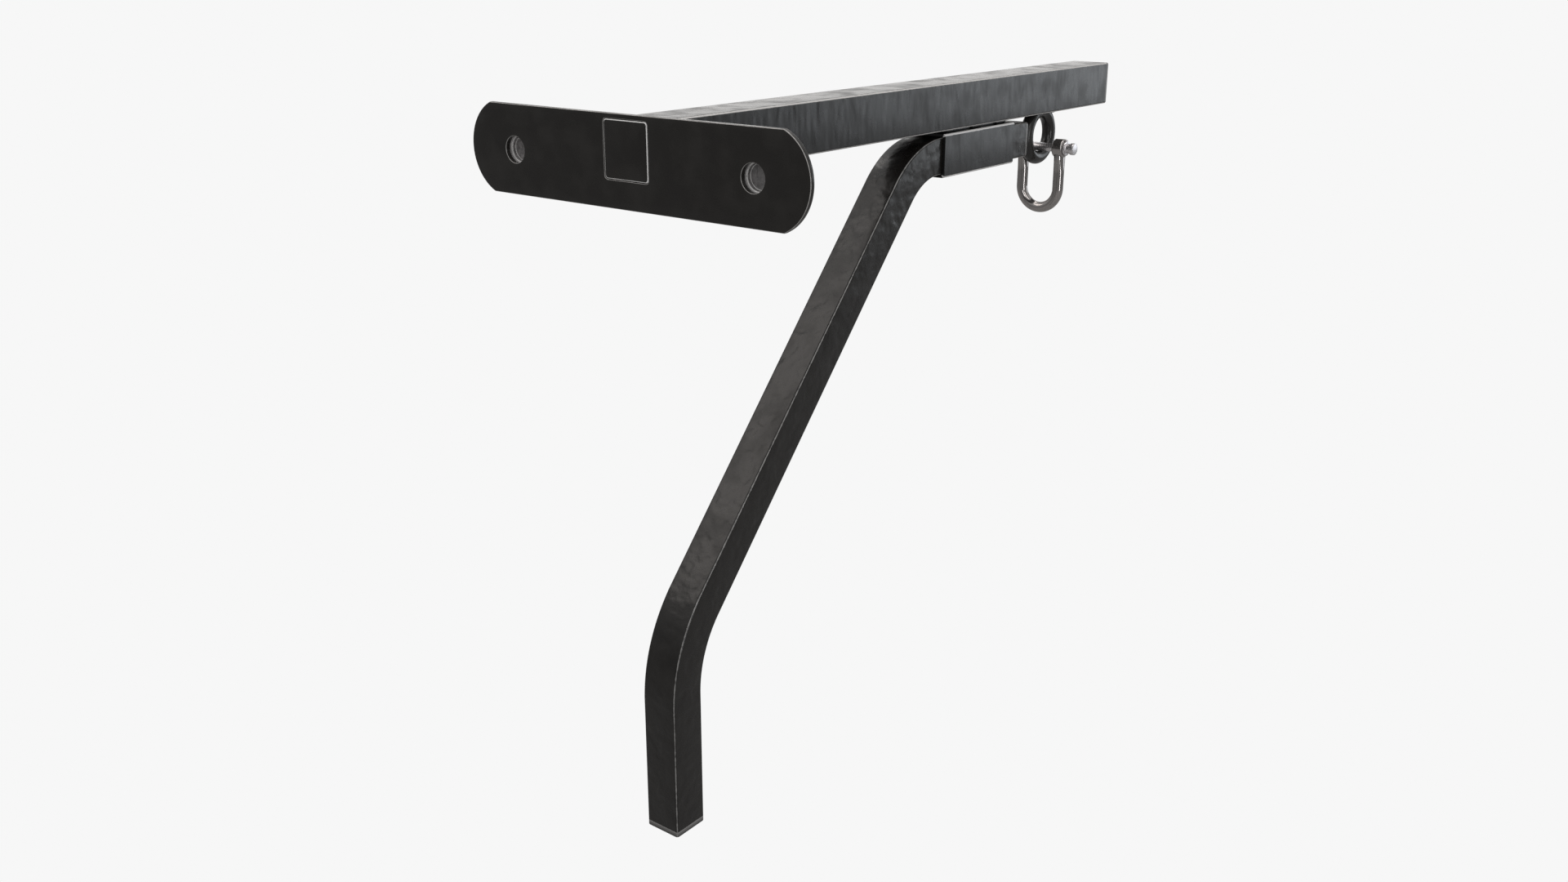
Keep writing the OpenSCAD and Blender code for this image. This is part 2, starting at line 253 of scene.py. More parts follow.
def plate_outline(inset):
    """The plate's loop: straight top and bottom, and at each end an arc cut off by the two straights."""
    r = PLATE_END_R - inset
    z = PLATE_HALF[1] - inset
    reach = math.asin(min(z / r, 1.0))
    a = np.linspace(-reach, reach, 49)
    centre = PLATE_HALF[0] - PLATE_END_R
    right = np.stack([centre + r * np.cos(a), r * np.sin(a)], -1)
    straight = np.linspace(centre + r * math.cos(reach), SPLIT_X, 12)[1:-1]
    middle = np.linspace(SPLIT_X, -SPLIT_X, 25)
    top = np.concatenate([straight, middle, -straight[::-1]])
    top = np.stack([top, np.full(len(top), z)], -1)
    return np.concatenate([right, top, -right, -top])


def at_depth(loop, depth):
    """A flat loop of X and Z laid at a depth in front of the wall."""
    return np.stack([loop[:, 0], np.full(len(loop), -depth), loop[:, 1]], -1)


def resample(loop, centre, angles):
    """The loop's points met by rays from centre at the given angles."""
    rel = loop - centre
    a = np.unwrap(np.arctan2(rel[:, 1], rel[:, 0]))
    order = np.argsort(a % (2 * math.pi))
    a = (a % (2 * math.pi))[order]
    r = np.hypot(rel[:, 0], rel[:, 1])[order]
    radius = np.interp(angles % (2 * math.pi), a, r, period=2 * math.pi)
    return centre + radius[:, None] * np.stack([np.cos(angles), np.sin(angles)], -1)


def plate_patches():
    """The rim is the outline carried round the edge profile.
    Each face is three rings of cells, one round each opening."""
    profile = edge_profile(PLATE_EDGE, PLATE_T)
    rim = np.stack([at_depth(plate_outline(inset), depth) for inset, depth in profile])
    patches = [quads(rim, wrap_v=True, wear_and_highlight=edge_wear_and_highlight())]
    face = plate_outline(PLATE_EDGE)
    right = face[face[:, 0] >= SPLIT_X - 1e-6]
    right = right[np.argsort(np.arctan2(right[:, 1], right[:, 0] - HOLE_X))]
    side = np.linspace(right[-1, 1], right[0, 1], 15)[1:-1]
    seam = np.stack([np.full(len(side), SPLIT_X), side], -1)
    right = np.concatenate([right, seam])
    left = -right
    top = face[(np.abs(face[:, 0]) <= SPLIT_X + 1e-6) & (face[:, 1] > 0)]
    top = top[np.argsort(-top[:, 0])]
    middle = np.concatenate([top, seam * [-1, 1], -top, seam[::-1]])
    hole = edge_profile(HOLE_EDGE, PLATE_T)
    regions = [(right, np.array([HOLE_X, 0.0])), (left, np.array([-HOLE_X, 0.0]))]
    mix = np.linspace(0.0, 1.0, 4)[:, None, None]
    for loop, centre in regions:
        a = np.arctan2(loop[:, 1] - centre[1], loop[:, 0] - centre[0])
        ray = np.stack([np.cos(a), np.sin(a)], -1)
        rings = [at_depth(centre + (HOLE_R + inset) * ray, depth) for inset, depth in hole]
        patches.append(quads(np.stack(rings), wrap_v=True, wear_and_highlight=edge_wear_and_highlight()))
        for ring, depth in ((rings[0], 0.0), (rings[-1], PLATE_T)):
            patches.append(quads(at_depth(loop, depth) * (1 - mix) + ring * mix, wrap_v=True))
    centre = np.array([0.0, ARM_Z])
    window = outline((WINDOW_HALF, WINDOW_HALF), WINDOW_R, 8) + centre
    a = np.arctan2(middle[:, 1] - centre[1], middle[:, 0] - centre[0])
    after = np.roll(window, -1, 0)
    dense = np.concatenate([np.linspace(a0, a1, 12)[:-1] for a0, a1 in zip(window, after)])
    inner = resample(dense, centre, a)
    rings = [at_depth(centre + (inner - centre) * (1 + inset / WINDOW_HALF), depth)
             for inset, depth in edge_profile(WINDOW_EDGE, PLATE_T)]
    patches.append(quads(np.stack(rings), wrap_v=True, wear_and_highlight=edge_wear_and_highlight()))
    for ring, depth in ((rings[0], 0.0), (rings[-1], PLATE_T)):
        patches.append(quads(at_depth(middle, depth) * (1 - mix) + ring * mix, wrap_v=True))
    return patches


# The plate's rounded edges and the rims of its holes and window are painted lighter: partly scuffing, partly a
# painted highlight.
plate_coat = powder_coat("plate_coat", (0.0135, 0.0122, 0.0110), 0.30, streak=(0.45, 1.0, 1.0), dent=0.6,
                         edge=(0.36, 0.35, 0.34), wear_highlight_range=(0.60, 0.90))
wall_plate = solid("plate_of_wall_bracket", plate_patches())
wall_plate.data.materials.append(plate_coat)
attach(wall_plate, "frame")
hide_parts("wall_plate")

# ------------------------------------------------------------------ arm
# A length of 50 mm square steel tube, sawn square, with a 3 mm plate welded over its root.
# The root plate fills the wall plate's window and leaves a thin dark line round itself.
ARM_HALF = 25.0
ARM_R = 2.5
ARM_WALL = 3.0
ARM_START = 3.0
ARM_END = 838.0
SAW_EDGE = 0.35
ROOT_EDGE = 1.1
TUBE_INNER_R = 0.6


def carry(section, centres, across, up):
    """A section of (across, up) pairs carried along a path of centres, each with its two directions."""
    return centres[:, None, :] + section[..., 0:1] * across[:, None, :] + section[..., 1:2] * up[:, None, :]


def box_tube(half, r, wall, start, end, z):
    """Square tube lying along -Y: the outer skin goes out, turns over the sawn edge and comes back inside."""
    inner = half - wall
    inner_r = max(r - wall, TUBE_INNER_R)
    rows = [(half - SAW_EDGE, r, start), (half, r, start + SAW_EDGE), (half, r, end - SAW_EDGE),
            (half - SAW_EDGE, r, end), (inner, inner_r, end), (inner, inner_r, start)]
    grid = np.stack([at_depth(outline((h, h), c), d) + np.array([0.0, 0.0, z]) for h, c, d in rows])
    return quads(grid, wrap_u=True, wrap_v=True, wear_and_highlight=corner_wear_and_highlight())


def slab(half, r, edge, start, end, z):
    """Flat plate facing the wall, its edges rounded, closed by a pole at the middle of each face."""
    rim = [(half[0] - inset, half[1] - inset, start + depth)
           for inset, depth in edge_profile(edge, end - start)]
    rows = [(0.0, 0.0, start)] + rim + [(0.0, 0.0, end)]
    loops = [at_depth(outline((hx, hz), min(r, hx, hz)), d) for hx, hz, d in rows]
    # Edge weights for the rounded rims, which the root plate's material paints as a highlight.
    wear_and_highlight = np.concatenate([[[0.0]], edge_wear_and_highlight(), [[0.0]]])
    return quads(np.stack(loops) + np.array([0.0, 0.0, z]), wrap_v=True, wear_and_highlight=wear_and_highlight)


# The arm's rounded corners are painted lighter along their length: partly scuffing, partly a painted
# highlight.
arm_coat = powder_coat("arm_coat", (0.0110, 0.0108, 0.0108), 0.32, streak=(1.0, 1.0, 0.4), dent=0.6,
                       edge=(0.50, 0.49, 0.48), wear_highlight_range=(0.60, 0.90))
arm = solid("arm_square_tube", [box_tube(ARM_HALF, ARM_R, ARM_WALL, ARM_START, ARM_END, ARM_Z)])
arm.data.materials.append(arm_coat)
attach(arm, "frame")
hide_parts("arm_tube")

root_slab = slab((ARM_HALF, ARM_HALF), ARM_R, ROOT_EDGE, 0.0, ARM_START, ARM_Z)
root_plate = solid("arm_root_plate_cover", [root_slab])
# The root plate's rounded rims are painted nearly white: a painted highlight on each side of the dark line
# round it.
root_coat = powder_coat("root_plate_coat", (0.0135, 0.0122, 0.0110), 0.28, dent=0.4,
                        edge=(0.90, 0.89, 0.88), wear_highlight_range=(0.30, 0.55))
root_plate.data.materials.append(root_coat)
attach(root_plate, "frame")
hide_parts("arm_root_plate")

# ---------------------------------------------------------- weld round the arm
# One run of fillet weld joins the arm to the front of the wall plate.
# Each pass of the torch has left a ripple, and the whole bead is coated black.
PLATE_WELD_R = 3.0
PLATE_WELD_SET = 1.0
RIPPLE = 2.1
RIPPLE_SWELL = 0.09
WANDER_SWELL = 0.10
WANDER_WAVES = 12


def bead(path, radius, inward, out, closed=True, seed=1):
    """Weld bead: a circle carried along the path.
    Its radius swells once per ripple and wanders by a sum of slow sine waves."""
    nxt = np.roll(path, -1, 0)
    step = np.linalg.norm(nxt - path, axis=1)
    s = np.concatenate([[0.0], np.cumsum(step)[:-1]])
    total = step.sum() if closed else s[-1]
    turns = round(total / RIPPLE)
    phase = 2 * math.pi * turns * s / total
    wander = np.random.default_rng(seed).uniform(-1, 1, WANDER_WAVES)
    waves = (w * np.sin(2 * math.pi * (i + 2) * s / total + i) for i, w in enumerate(wander))
    drift = sum(waves) / WANDER_WAVES
    r = radius * (1 + RIPPLE_SWELL * np.abs(np.cos(phase / 2)) + WANDER_SWELL * drift)
    if not closed:
        r = r * np.sqrt(np.clip(1 - (2 * s / total - 1) ** 8, 0.0, 1.0))
    a = np.linspace(0.0, 2 * math.pi, 17)[:-1]
    ring = inward[:, None, :] * np.cos(a)[:, None] + out[:, None, :] * np.sin(a)[:, None]
    grid = path[:, None, :] + r[:, None, None] * ring
    return quads(grid, wrap_u=closed, wrap_v=True)


def even_loop(loop, spacing):
    """The closed flat loop cut into even steps of about the spacing."""
    ends = np.concatenate([loop, loop[:1]])
    s = np.concatenate([[0.0], np.cumsum(np.linalg.norm(np.diff(ends, axis=0), axis=1))])
    at = np.linspace(0.0, s[-1], int(s[-1] / spacing) + 1)[:-1]
    return np.stack([np.interp(at, s, ends[:, k]) for k in range(2)], -1)


weld_coat = powder_coat("weld_coat", (0.010, 0.0098, 0.0095), 0.34, dent=0.3)
around = even_loop(outline((ARM_HALF + PLATE_WELD_SET,) * 2, ARM_R + PLATE_WELD_SET), 0.5)
ahead = np.roll(around, -1, 0) - np.roll(around, 1, 0)
ahead /= np.linalg.norm(ahead, axis=1, keepdims=True)
outward = np.stack([ahead[:, 1], np.zeros(len(ahead)), -ahead[:, 0]], -1)
away = np.tile([0.0, -1.0, 0.0], (len(around), 1))
weld_path = at_depth(around, PLATE_T + PLATE_WELD_SET) + np.array([0.0, 0.0, ARM_Z])
plate_weld = solid("weld_round_arm", [bead(weld_path, PLATE_WELD_R, outward, away)])
plate_weld.data.materials.append(weld_coat)
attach(plate_weld, "frame")
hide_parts("plate_welds")

# ------------------------------------------------------------- bolt covers
# Pressed cups that close the bolt holes from the front of the plate: a thin flange, a stepped wall
# and a flat floor, dull grey, with a painted highlight on their rims.
COVER_PROFILE = ((0.0, 10.4), (10.0, 10.4), (10.6, 10.3), (10.9, 9.9), (11.0, 8.0), (11.1, 7.8), (11.9, 7.6),
                 (12.0, 7.4), (12.25, 5.2), (12.4, 5.0), (17.0, 5.0), (17.0, 6.1), (16.9, 6.4), (16.6, 6.5),
                 (15.1, 6.6), (14.7, 6.8), (14.5, 7.2), (13.5, 11.5), (13.1, 12.2), (12.3, 12.4), (0.0, 12.4))
# Profile rows painted near white: a painted highlight on the cups' rims.
COVER_HIGHLIGHT_ROWS = (2, 6, 7)


def turned(profile, centre, wear_and_highlight, steps=96):
    """Profile of (radius, depth) pairs turned round an axis that points away from the wall.
    The rows whose numbers are listed in the third argument get a painted highlight: they are painted bright."""
    a = np.linspace(0.0, 2 * math.pi, steps + 1)[:-1]
    r, d = np.array(profile).T
    x = centre[0] + r[:, None] * np.cos(a)
    z = centre[1] + r[:, None] * np.sin(a)
    wear_highlight_data = np.isin(np.arange(len(r)), wear_and_highlight).astype(float)[:, None]
    return quads(np.stack([x, np.broadcast_to(-d[:, None], x.shape), z], -1), wrap_v=True, wear_and_highlight=wear_highlight_data)


for side, x, tint in (("left", -HOLE_X, (0.26, 0.25, 0.25)), ("right", HOLE_X, (0.32, 0.305, 0.305))):
    cover_metal = Finish("cover_metal_" + side, tint, 0.4, metallic=0.4)
    cloud = cover_metal.band(cover_metal.noise(260.0, 4.0), 0.30, 0.75)
    # Painted highlight: the marked rim rows are painted near white.
    rim = cover_metal.node("ShaderNodeAttribute", {"attribute_name": "wear_and_highlight"})["Fac"]
    cup = cover_metal.mix(cloud, tuple(c * 0.75 for c in tint), tuple(c * 1.15 for c in tint))
    cover_metal.drive(Base_Color=cover_metal.mix(rim, cup, (0.95, 0.94, 0.93)), Roughness=cloud * 0.2 + 0.22)
    cover_metal.bump((cloud, 0.5, 0.0003), (cover_metal.noise(900.0, 2.0), 0.3, 0.0001))
    cover = solid("bolt_cover_cup_" + side, [turned(COVER_PROFILE, (x, 0.0), COVER_HIGHLIGHT_ROWS)], sharp=40.0)
    cover.data.materials.append(cover_metal.material)
    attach(cover, "frame")
    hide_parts("bolt_cover_" + side)

# ---------------------------------------------------------------- sleeve
# A short square tube that the strut runs in, with a bar between it and the arm, stitched along both
# sides with short weld runs. The bores for its clamp screws lie behind the nuts and are left out.
SLEEVE_HALF = 23.5
SLEEVE_R = 3.0
SLEEVE_WALL = 3.0
SLEEVE_START = 464.0
SLEEVE_END = 613.0
SLEEVE_Z = -42.0
ARM_BOTTOM = -15.0
BAR_HALF = (15.0, 64.5)
BAR_T = 3.5
STITCH_HALF = 11.0
STITCH_PITCH = 53.5
STITCH_R = 1.9
STITCH_OUT = 0.8

sleeve_skin = box_tube(SLEEVE_HALF, SLEEVE_R, SLEEVE_WALL, SLEEVE_START, SLEEVE_END, SLEEVE_Z)
sleeve = solid("strut_sleeve", [sleeve_skin])
# The sleeve's rounded corners are painted bright along their length: a painted highlight.
sleeve_coat = powder_coat("sleeve_coat", (0.0100, 0.0098, 0.0098), 0.33, streak=(1.0, 1.0, 0.4), dent=0.5,
                          edge=(0.70, 0.69, 0.68), wear_highlight_range=(0.40, 0.75))
sleeve.data.materials.append(sleeve_coat)
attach(sleeve, "frame")
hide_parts("sleeve_tube")


def flat_bar(half, t, centre, edge=0.4):
    """Flat bar lying level: rounded edges carried round the outline, closed by a pole above and below."""
    rim = [(half[0] - inset, half[1] - inset, -depth) for inset, depth in edge_profile(edge, t)]
    rows = [(0.0, 0.0, 0.0)] + rim + [(0.0, 0.0, -t)]
    loops = []
    for hx, hy, z in rows:
        loop = outline((hx, hy), min(1.0, hx, hy), 5)
        loops.append(np.stack([loop[:, 0], loop[:, 1], np.full(len(loop), z)], -1) + centre)
    return quads(np.stack(loops), wrap_v=True)


sleeve_middle = -(SLEEVE_START + SLEEVE_END) / 2
bar = solid("sleeve_bar", [flat_bar(BAR_HALF, BAR_T, np.array([0.0, sleeve_middle, ARM_BOTTOM]))])
bar.data.materials.append(arm_coat)
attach(bar, "frame")
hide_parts("sleeve_spacer")

stitches = []
for side in (-1, 1):
    for k in (-1, 0, 1):
        y = sleeve_middle + k * STITCH_PITCH + np.linspace(-STITCH_HALF, STITCH_HALF, 61)
        ones = np.ones(len(y))
        path = np.stack([side * (BAR_HALF[0] + STITCH_OUT) * ones, y, (ARM_BOTTOM - BAR_T / 2) * ones], -1)
        sideways = np.tile([1.0, 0.0, 0.0], (len(y), 1))
        upwards = np.tile([0.0, 0.0, 1.0], (len(y), 1))
        stitches.append(bead(path, STITCH_R, sideways, upwards, closed=False, seed=20 + 3 * side + k))
sleeve_weld = solid("sleeve_weld_stitches", stitches)
sleeve_weld.data.materials.append(weld_coat)
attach(sleeve_weld, "frame")
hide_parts("sleeve_welds")

# ----------------------------------------------------------------- strut
# A 40 mm square tube bent twice on a press. In each bend the outer wall is pulled in
# and the side walls swell a little.
STRUT_HALF = 20.0
STRUT_R = 2.5
STRUT_WALL = 2.0
STRUT_Y = -38.0
STRUT_FOOT = -656.0
LEAN = math.radians(42.0)
LOWER_R = 130.0
UPPER_R = 88.0
STRUT_UPPER_Y = -460.0
STRUT_END = -648.0
BEND_PULL = 1.0
BEND_SWELL = 0.5
FOOT_STRAIGHT_STOP = 6.0


def strut_stations():
    """Centres, headings and bend weights: up the foot, round the lower bend, along the lean,
    round the upper bend, then level."""
    lower = np.array([STRUT_Y - LOWER_R, 0.0])
    upper = np.array([STRUT_UPPER_Y, SLEEVE_Z - UPPER_R])
    run = (lower[0] - upper[0] + (LOWER_R - UPPER_R) * math.cos(LEAN)) / math.sin(LEAN)
    lower[1] = upper[1] - run * math.cos(LEAN) - (LOWER_R - UPPER_R) * math.sin(LEAN)
    low = np.linspace(0.0, LEAN, 43)
    high = np.linspace(LEAN, math.pi / 2, 49)
    out = [(STRUT_Y, STRUT_FOOT, 0.0, 0.0), (STRUT_Y, STRUT_FOOT + SAW_EDGE, 0.0, 0.0),
           (STRUT_Y, lower[1] - FOOT_STRAIGHT_STOP, 0.0, 0.0)]
    out += [(lower[0] + LOWER_R * math.cos(a), lower[1] + LOWER_R * math.sin(a), a,
             math.sin(math.pi * a / LEAN) ** 0.7) for a in low]
    across = upper + UPPER_R * np.array([math.cos(LEAN), math.sin(LEAN)])
    start = lower + LOWER_R * np.array([math.cos(LEAN), math.sin(LEAN)])
    out += [(*(start + (across - start) * t), LEAN, 0.0) for t in (0.02, 0.35, 0.65, 0.98)]
    rest = math.pi / 2 - LEAN
    out += [(upper[0] + UPPER_R * math.cos(a), upper[1] + UPPER_R * math.sin(a), a,
             max(math.sin(math.pi * (a - LEAN) / rest), 0.0) ** 0.7) for a in high]
    out += [(STRUT_END + SAW_EDGE, SLEEVE_Z, math.pi / 2, 0.0), (STRUT_END, SLEEVE_Z, math.pi / 2, 0.0)]
    return np.array(out)


def strut_skin(stations, half, r):
    """The square section at each station: by the bend weight, its outer wall is drawn in
    and its sides are swollen."""
    y, z, heading, weight = stations.T
    loop = outline((half, half), r)
    section = np.broadcast_to(loop, (len(stations), *loop.shape)).copy()
    outer = np.clip(loop[:, 1] / half, 0.0, 1.0)
    section[:, :, 1] -= weight[:, None] * BEND_PULL * outer
    middle = 1 - np.clip(np.abs(loop[:, 1]) / half, 0.0, 1.0) ** 2
    section[:, :, 0] += weight[:, None] * BEND_SWELL * np.sign(loop[:, 0]) * middle
    centres = np.stack([np.zeros(len(y)), y, z], -1)
    up = np.stack([np.zeros(len(y)), np.cos(heading), np.sin(heading)], -1)
    across = np.tile([1.0, 0.0, 0.0], (len(y), 1))
    return carry(section, centres, across, up)


stations = strut_stations()
skin = strut_skin(stations, STRUT_HALF, STRUT_R)
ends = strut_skin(stations[[0, -1]], STRUT_HALF - SAW_EDGE, STRUT_R)
skin[0], skin[-1] = ends[0], ends[1]
bore = strut_skin(stations[::-1], STRUT_HALF - STRUT_WALL, TUBE_INNER_R)
# The strut's rounded corners get a thin lighter line: partly scuffing, partly a painted highlight.
strut_coat = powder_coat("strut_coat", (0.0090, 0.0080, 0.0072), 0.33, dent=1.0,
                         edge=(0.22, 0.215, 0.21), wear_highlight_range=(0.84, 1.0))
wear_highlight_data = np.concatenate([np.tile(corner_wear_and_highlight(), (len(skin), 1)), np.zeros(bore.shape[:2])])
strut = solid("strut_bent_tube", [quads(np.concatenate([skin, bore]), wrap_u=True, wrap_v=True, wear_and_highlight=wear_highlight_data)])
strut.data.materials.append(strut_coat)
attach(strut, "strut")
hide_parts("strut_tube")

# --------------------------------------------------------------- end caps
# Black moulded caps pushed into the open tube ends: a hollow plug inside and a flange outside
# with a softly rounded edge and a shallow dished face.
CAP_EDGE = 1.2
CAP_PLUG = 18.0
CAP_GAP = 0.2
CAP_WALL = 2.5
CAP_FLOOR = 1.0
CAP_SEAM = 0.3
PLUG_R = 1.0
PLUG_INNER_R = 0.5
DISH_START = 5.0
DISH_END = 6.5
DISH_DEPTH = 0.35
STRUT_CAP_R = 4.0
# Cap rows painted lighter, a painted highlight: the seam, the corners of the flange's side, and the rim.
SEAM_HIGHLIGHT_ROWS = (5, 6)
SIDE_HIGHLIGHT_ROWS = (6, 7, 8, 9, 10, 11)
RIM_HIGHLIGHT_ROWS = (8, 9, 10, 11)


def moulded(name, color, roughness, depth=0.00012):
    """Moulded plastic: even colour with faint clouds, a fine matt grain, dusty patches, and a painted
    highlight on marked points.
    """
    plastic = Finish(name, color, roughness)
    # Painted highlight: marked points are painted lighter.
    rim = plastic.node("ShaderNodeAttribute", {"attribute_name": "wear_and_highlight"})["Fac"]
    grain = plastic.noise(1400.0, 1.0)
    cloud = plastic.band(plastic.noise(120.0, 3.0), 0.4, 0.7)
    tone = plastic.mix(cloud * 0.5, color, tuple(c * 1.3 + 0.004 for c in color))
    plastic.drive(Base_Color=plastic.mix(rim * 0.8, tone, (0.22, 0.215, 0.21)),
                  Roughness=cloud * 0.12 + (roughness - 0.05))
    plastic.bump((cloud, 0.3, 0.0002), (grain, 0.35, depth))
    return plastic.material


def tube_cap(half, r, wall, flange, origin, across, up, out, rim):
    """Cap of square loops stacked along out: the plug's inside, its outside, then the flange,
    closed by a pole at each end. The seam and the corners get a painted highlight, and the rim as much as rim
    says."""
    plug = half - wall - CAP_GAP
    inner = plug - CAP_WALL
    rows = [(0.0, 0.0, -CAP_FLOOR), (inner, PLUG_INNER_R, -CAP_FLOOR), (inner, PLUG_INNER_R, -CAP_PLUG),
            (plug, PLUG_R, -CAP_PLUG), (plug, PLUG_R, 0.0), (half - CAP_SEAM, r, 0.0), (half, r, CAP_SEAM)]
    a = np.linspace(0.0, math.pi / 2, 6)
    rows += [(half - CAP_EDGE * (1 - c), r, flange - CAP_EDGE * (1 - s)) for c, s in zip(np.cos(a), np.sin(a))]
    dish = flange - DISH_DEPTH
    rows += [(half - DISH_START, r, flange), (half - DISH_END, r, dish), (0.0, 0.0, dish)]
    loops = np.stack([outline((h, h), min(c, h)) for h, c, _ in rows])
    centres = np.array([np.array(origin) + height * np.array(out) for _, _, height in rows])
    frames = [np.tile(np.array(v, float), (len(rows), 1)) for v in (across, up)]
    seam, side, edge = (np.isin(np.arange(len(rows)), chosen).astype(float)[:, None]
                        for chosen in (SEAM_HIGHLIGHT_ROWS, SIDE_HIGHLIGHT_ROWS, RIM_HIGHLIGHT_ROWS))
    side = side * corner_wear_and_highlight() ** 4
    seam = seam + rim * edge
    return quads(carry(loops, centres, *frames), wrap_v=True, wear_and_highlight=np.maximum(seam, side))


cap_plastic = moulded("cap_plastic", (0.028, 0.027, 0.026), 0.36)
side_way, upright, from_wall, down = (1.0, 0.0, 0.0), (0.0, 0.0, 1.0), (0.0, -1.0, 0.0), (0.0, 0.0, -1.0)
# The number before each body is how strongly that cap's rim is painted lighter, a painted highlight.
caps = (
    ("arm_end_cap", ARM_HALF, ARM_R, ARM_WALL, 4.0, (0.0, -ARM_END, ARM_Z), upright, from_wall, 0.5, "frame"),
    ("strut_end_cap", STRUT_HALF, STRUT_CAP_R, STRUT_WALL, 4.0, (0.0, STRUT_END, SLEEVE_Z),
     upright, from_wall, 1.0, "strut"),
    ("strut_foot_cap", STRUT_HALF, STRUT_R, STRUT_WALL, 6.0, (0.0, STRUT_Y, STRUT_FOOT),
     (0.0, 1.0, 0.0), down, 0.0, "strut"),
)
for node, half, r, wall, flange, origin, up, out, rim, body in caps:
    cap = solid(node + "_moulded", [tube_cap(half, r, wall, flange, origin, side_way, up, out, rim)])
    cap.data.materials.append(cap_plastic)
    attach(cap, body)
    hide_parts(node)

# ------------------------------------------------- clamp nuts and screws
# Two hexagon nuts welded on the sleeve's side carry the screws that lock the strut.
# The screws are zinc plated, with a rolled thread and a chamfered hexagon head.
SCREW_Y = (-498.0, -579.0)
HEX_FLAT = 8.5
NUT_FACE = 23.5
NUT_T = 8.0
BORE_R = 5.05
SCREW_R = 5.0
THREAD_DEPTH = 0.55
THREAD_PITCH = 1.5
SCREW_TIP = 20.2
HEAD_X = 38.5
HEAD_T = 6.5
BORE_CHAMFER = 0.5
NECK_CUT = 0.3
TIP_CUT = 1.2


def hexagon(limit, steps=72):
    """Radius round a hexagon, cut off where it passes the limit."""
    a = np.linspace(0.0, 2 * math.pi, steps + 1)[:-1]
    fold = (a % (math.pi / 3)) - math.pi / 6
    return a, np.minimum(HEX_FLAT / np.cos(fold), limit)


def along_x(rows, y, z):
    """Loops of (x, angles, radii) set round an axis along X."""
    loops = [np.stack([np.full(len(a), x), y + r * np.sin(a), z + r * np.cos(a)], -1) for x, a, r in rows]
    return np.stack(loops)


def nut_patch(y):
    """Chamfered hexagon with a bore: out along the hexagon, over the chamfer and back along the bore."""
    corner = HEX_FLAT / math.cos(math.pi / 6)
    rows = [(NUT_FACE, *hexagon(corner))]
    top = NUT_FACE + NUT_T
    for x, limit in ((top - 1.0, corner), (top - 0.4, corner - 0.45), (top, HEX_FLAT * 0.97)):
        rows.append((x, *hexagon(limit)))
    a, _ = hexagon(corner)
    bore = np.full(len(a), BORE_R)
    rows += [(top, a, bore + BORE_CHAMFER), (top - BORE_CHAMFER, a, bore), (NUT_FACE, a, bore)]
    return quads(along_x(rows, y, SLEEVE_Z), wrap_u=True, wrap_v=True)


def screw_patch(y):
    """Thread whose depth is a saw wave of turn plus travel, then a plain neck and the chamfered head."""
    corner = HEX_FLAT / math.cos(math.pi / 6)
    a, _ = hexagon(corner)
    none = np.zeros(len(a))
    rows = [(SCREW_TIP, a, none), (SCREW_TIP, a, none + SCREW_R - TIP_CUT)]
    for x in np.arange(SCREW_TIP + 1.0, HEAD_X - 1.0, THREAD_PITCH / 6):
        wave = np.abs(((x / THREAD_PITCH - a / (2 * math.pi)) % 1.0) * 2 - 1)
        rows.append((x, a, SCREW_R - THREAD_DEPTH * wave))
    neck = none + SCREW_R - NECK_CUT
    rows += [(HEAD_X - 0.8, a, neck), (HEAD_X, a, neck), (HEAD_X, a, none + HEX_FLAT * 0.93)]
    for x, limit in ((HEAD_X + 0.3, HEX_FLAT * 0.97), (HEAD_X + 0.5, corner), (HEAD_X + HEAD_T - 1.2, corner),
                     (HEAD_X + HEAD_T - 0.5, corner - 0.5), (HEAD_X + HEAD_T, HEX_FLAT * 0.95)):
        rows.append((x, *hexagon(limit)))
    rows.append((HEAD_X + HEAD_T, a, none))
    return quads(along_x(rows, y, SLEEVE_Z), wrap_v=True)


zinc = Finish("zinc_plate", (0.60, 0.60, 0.58), 0.32, metallic=1.0)
bloom = zinc.band(zinc.noise(180.0, 4.0), 0.40, 0.70)
zinc.drive(Base_Color=zinc.mix(bloom, (0.63, 0.63, 0.61), (0.45, 0.44, 0.40)), Roughness=bloom * 0.2 + 0.26)
zinc.bump((zinc.noise(900.0, 2.0), 0.25, 0.00006))
for place, y in zip(("rear", "front"), SCREW_Y):
    nut = solid("weld_nut_" + place, [nut_patch(y)], sharp=25.0)
    nut.data.materials.append(weld_coat)
    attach(nut, "frame")
    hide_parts("clamp_nut_" + place)
    screw = solid("lock_screw_" + place, [screw_patch(y)], sharp=25.0)
    screw.data.materials.append(zinc.material)
    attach(screw, place + "_screw")
    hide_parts("clamp_screw_" + place)

# --------------------------------------------------------------- eye ring
# A ring bent from 16 mm round bar, ground flat on top and welded under the arm.
# The weld runs on past the ring at both ends.
RING_Y = -713.0
RING_Z = -43.5
RING_R = 27.5
RING_BAR_R = 8.0
RING_WELD_R = 3.0
RING_WELD_HALF = (8.4, 27.0)


def ring_patch():
    """Circle of the bar turned round the ring's centre, and pressed flat where it would pass the arm."""
    u = np.linspace(0.0, 2 * math.pi, 193)[:-1][:, None]
    v = np.linspace(0.0, 2 * math.pi, 65)[:-1][None, :]
    r = RING_R + RING_BAR_R * np.cos(v)
    grid = np.stack([RING_BAR_R * np.sin(v) + 0 * u, RING_Y + r * np.cos(u), RING_Z + r * np.sin(u)], -1)
    grid[..., 2] = np.minimum(grid[..., 2], ARM_BOTTOM)
    return quads(grid, wrap_u=True, wrap_v=True)


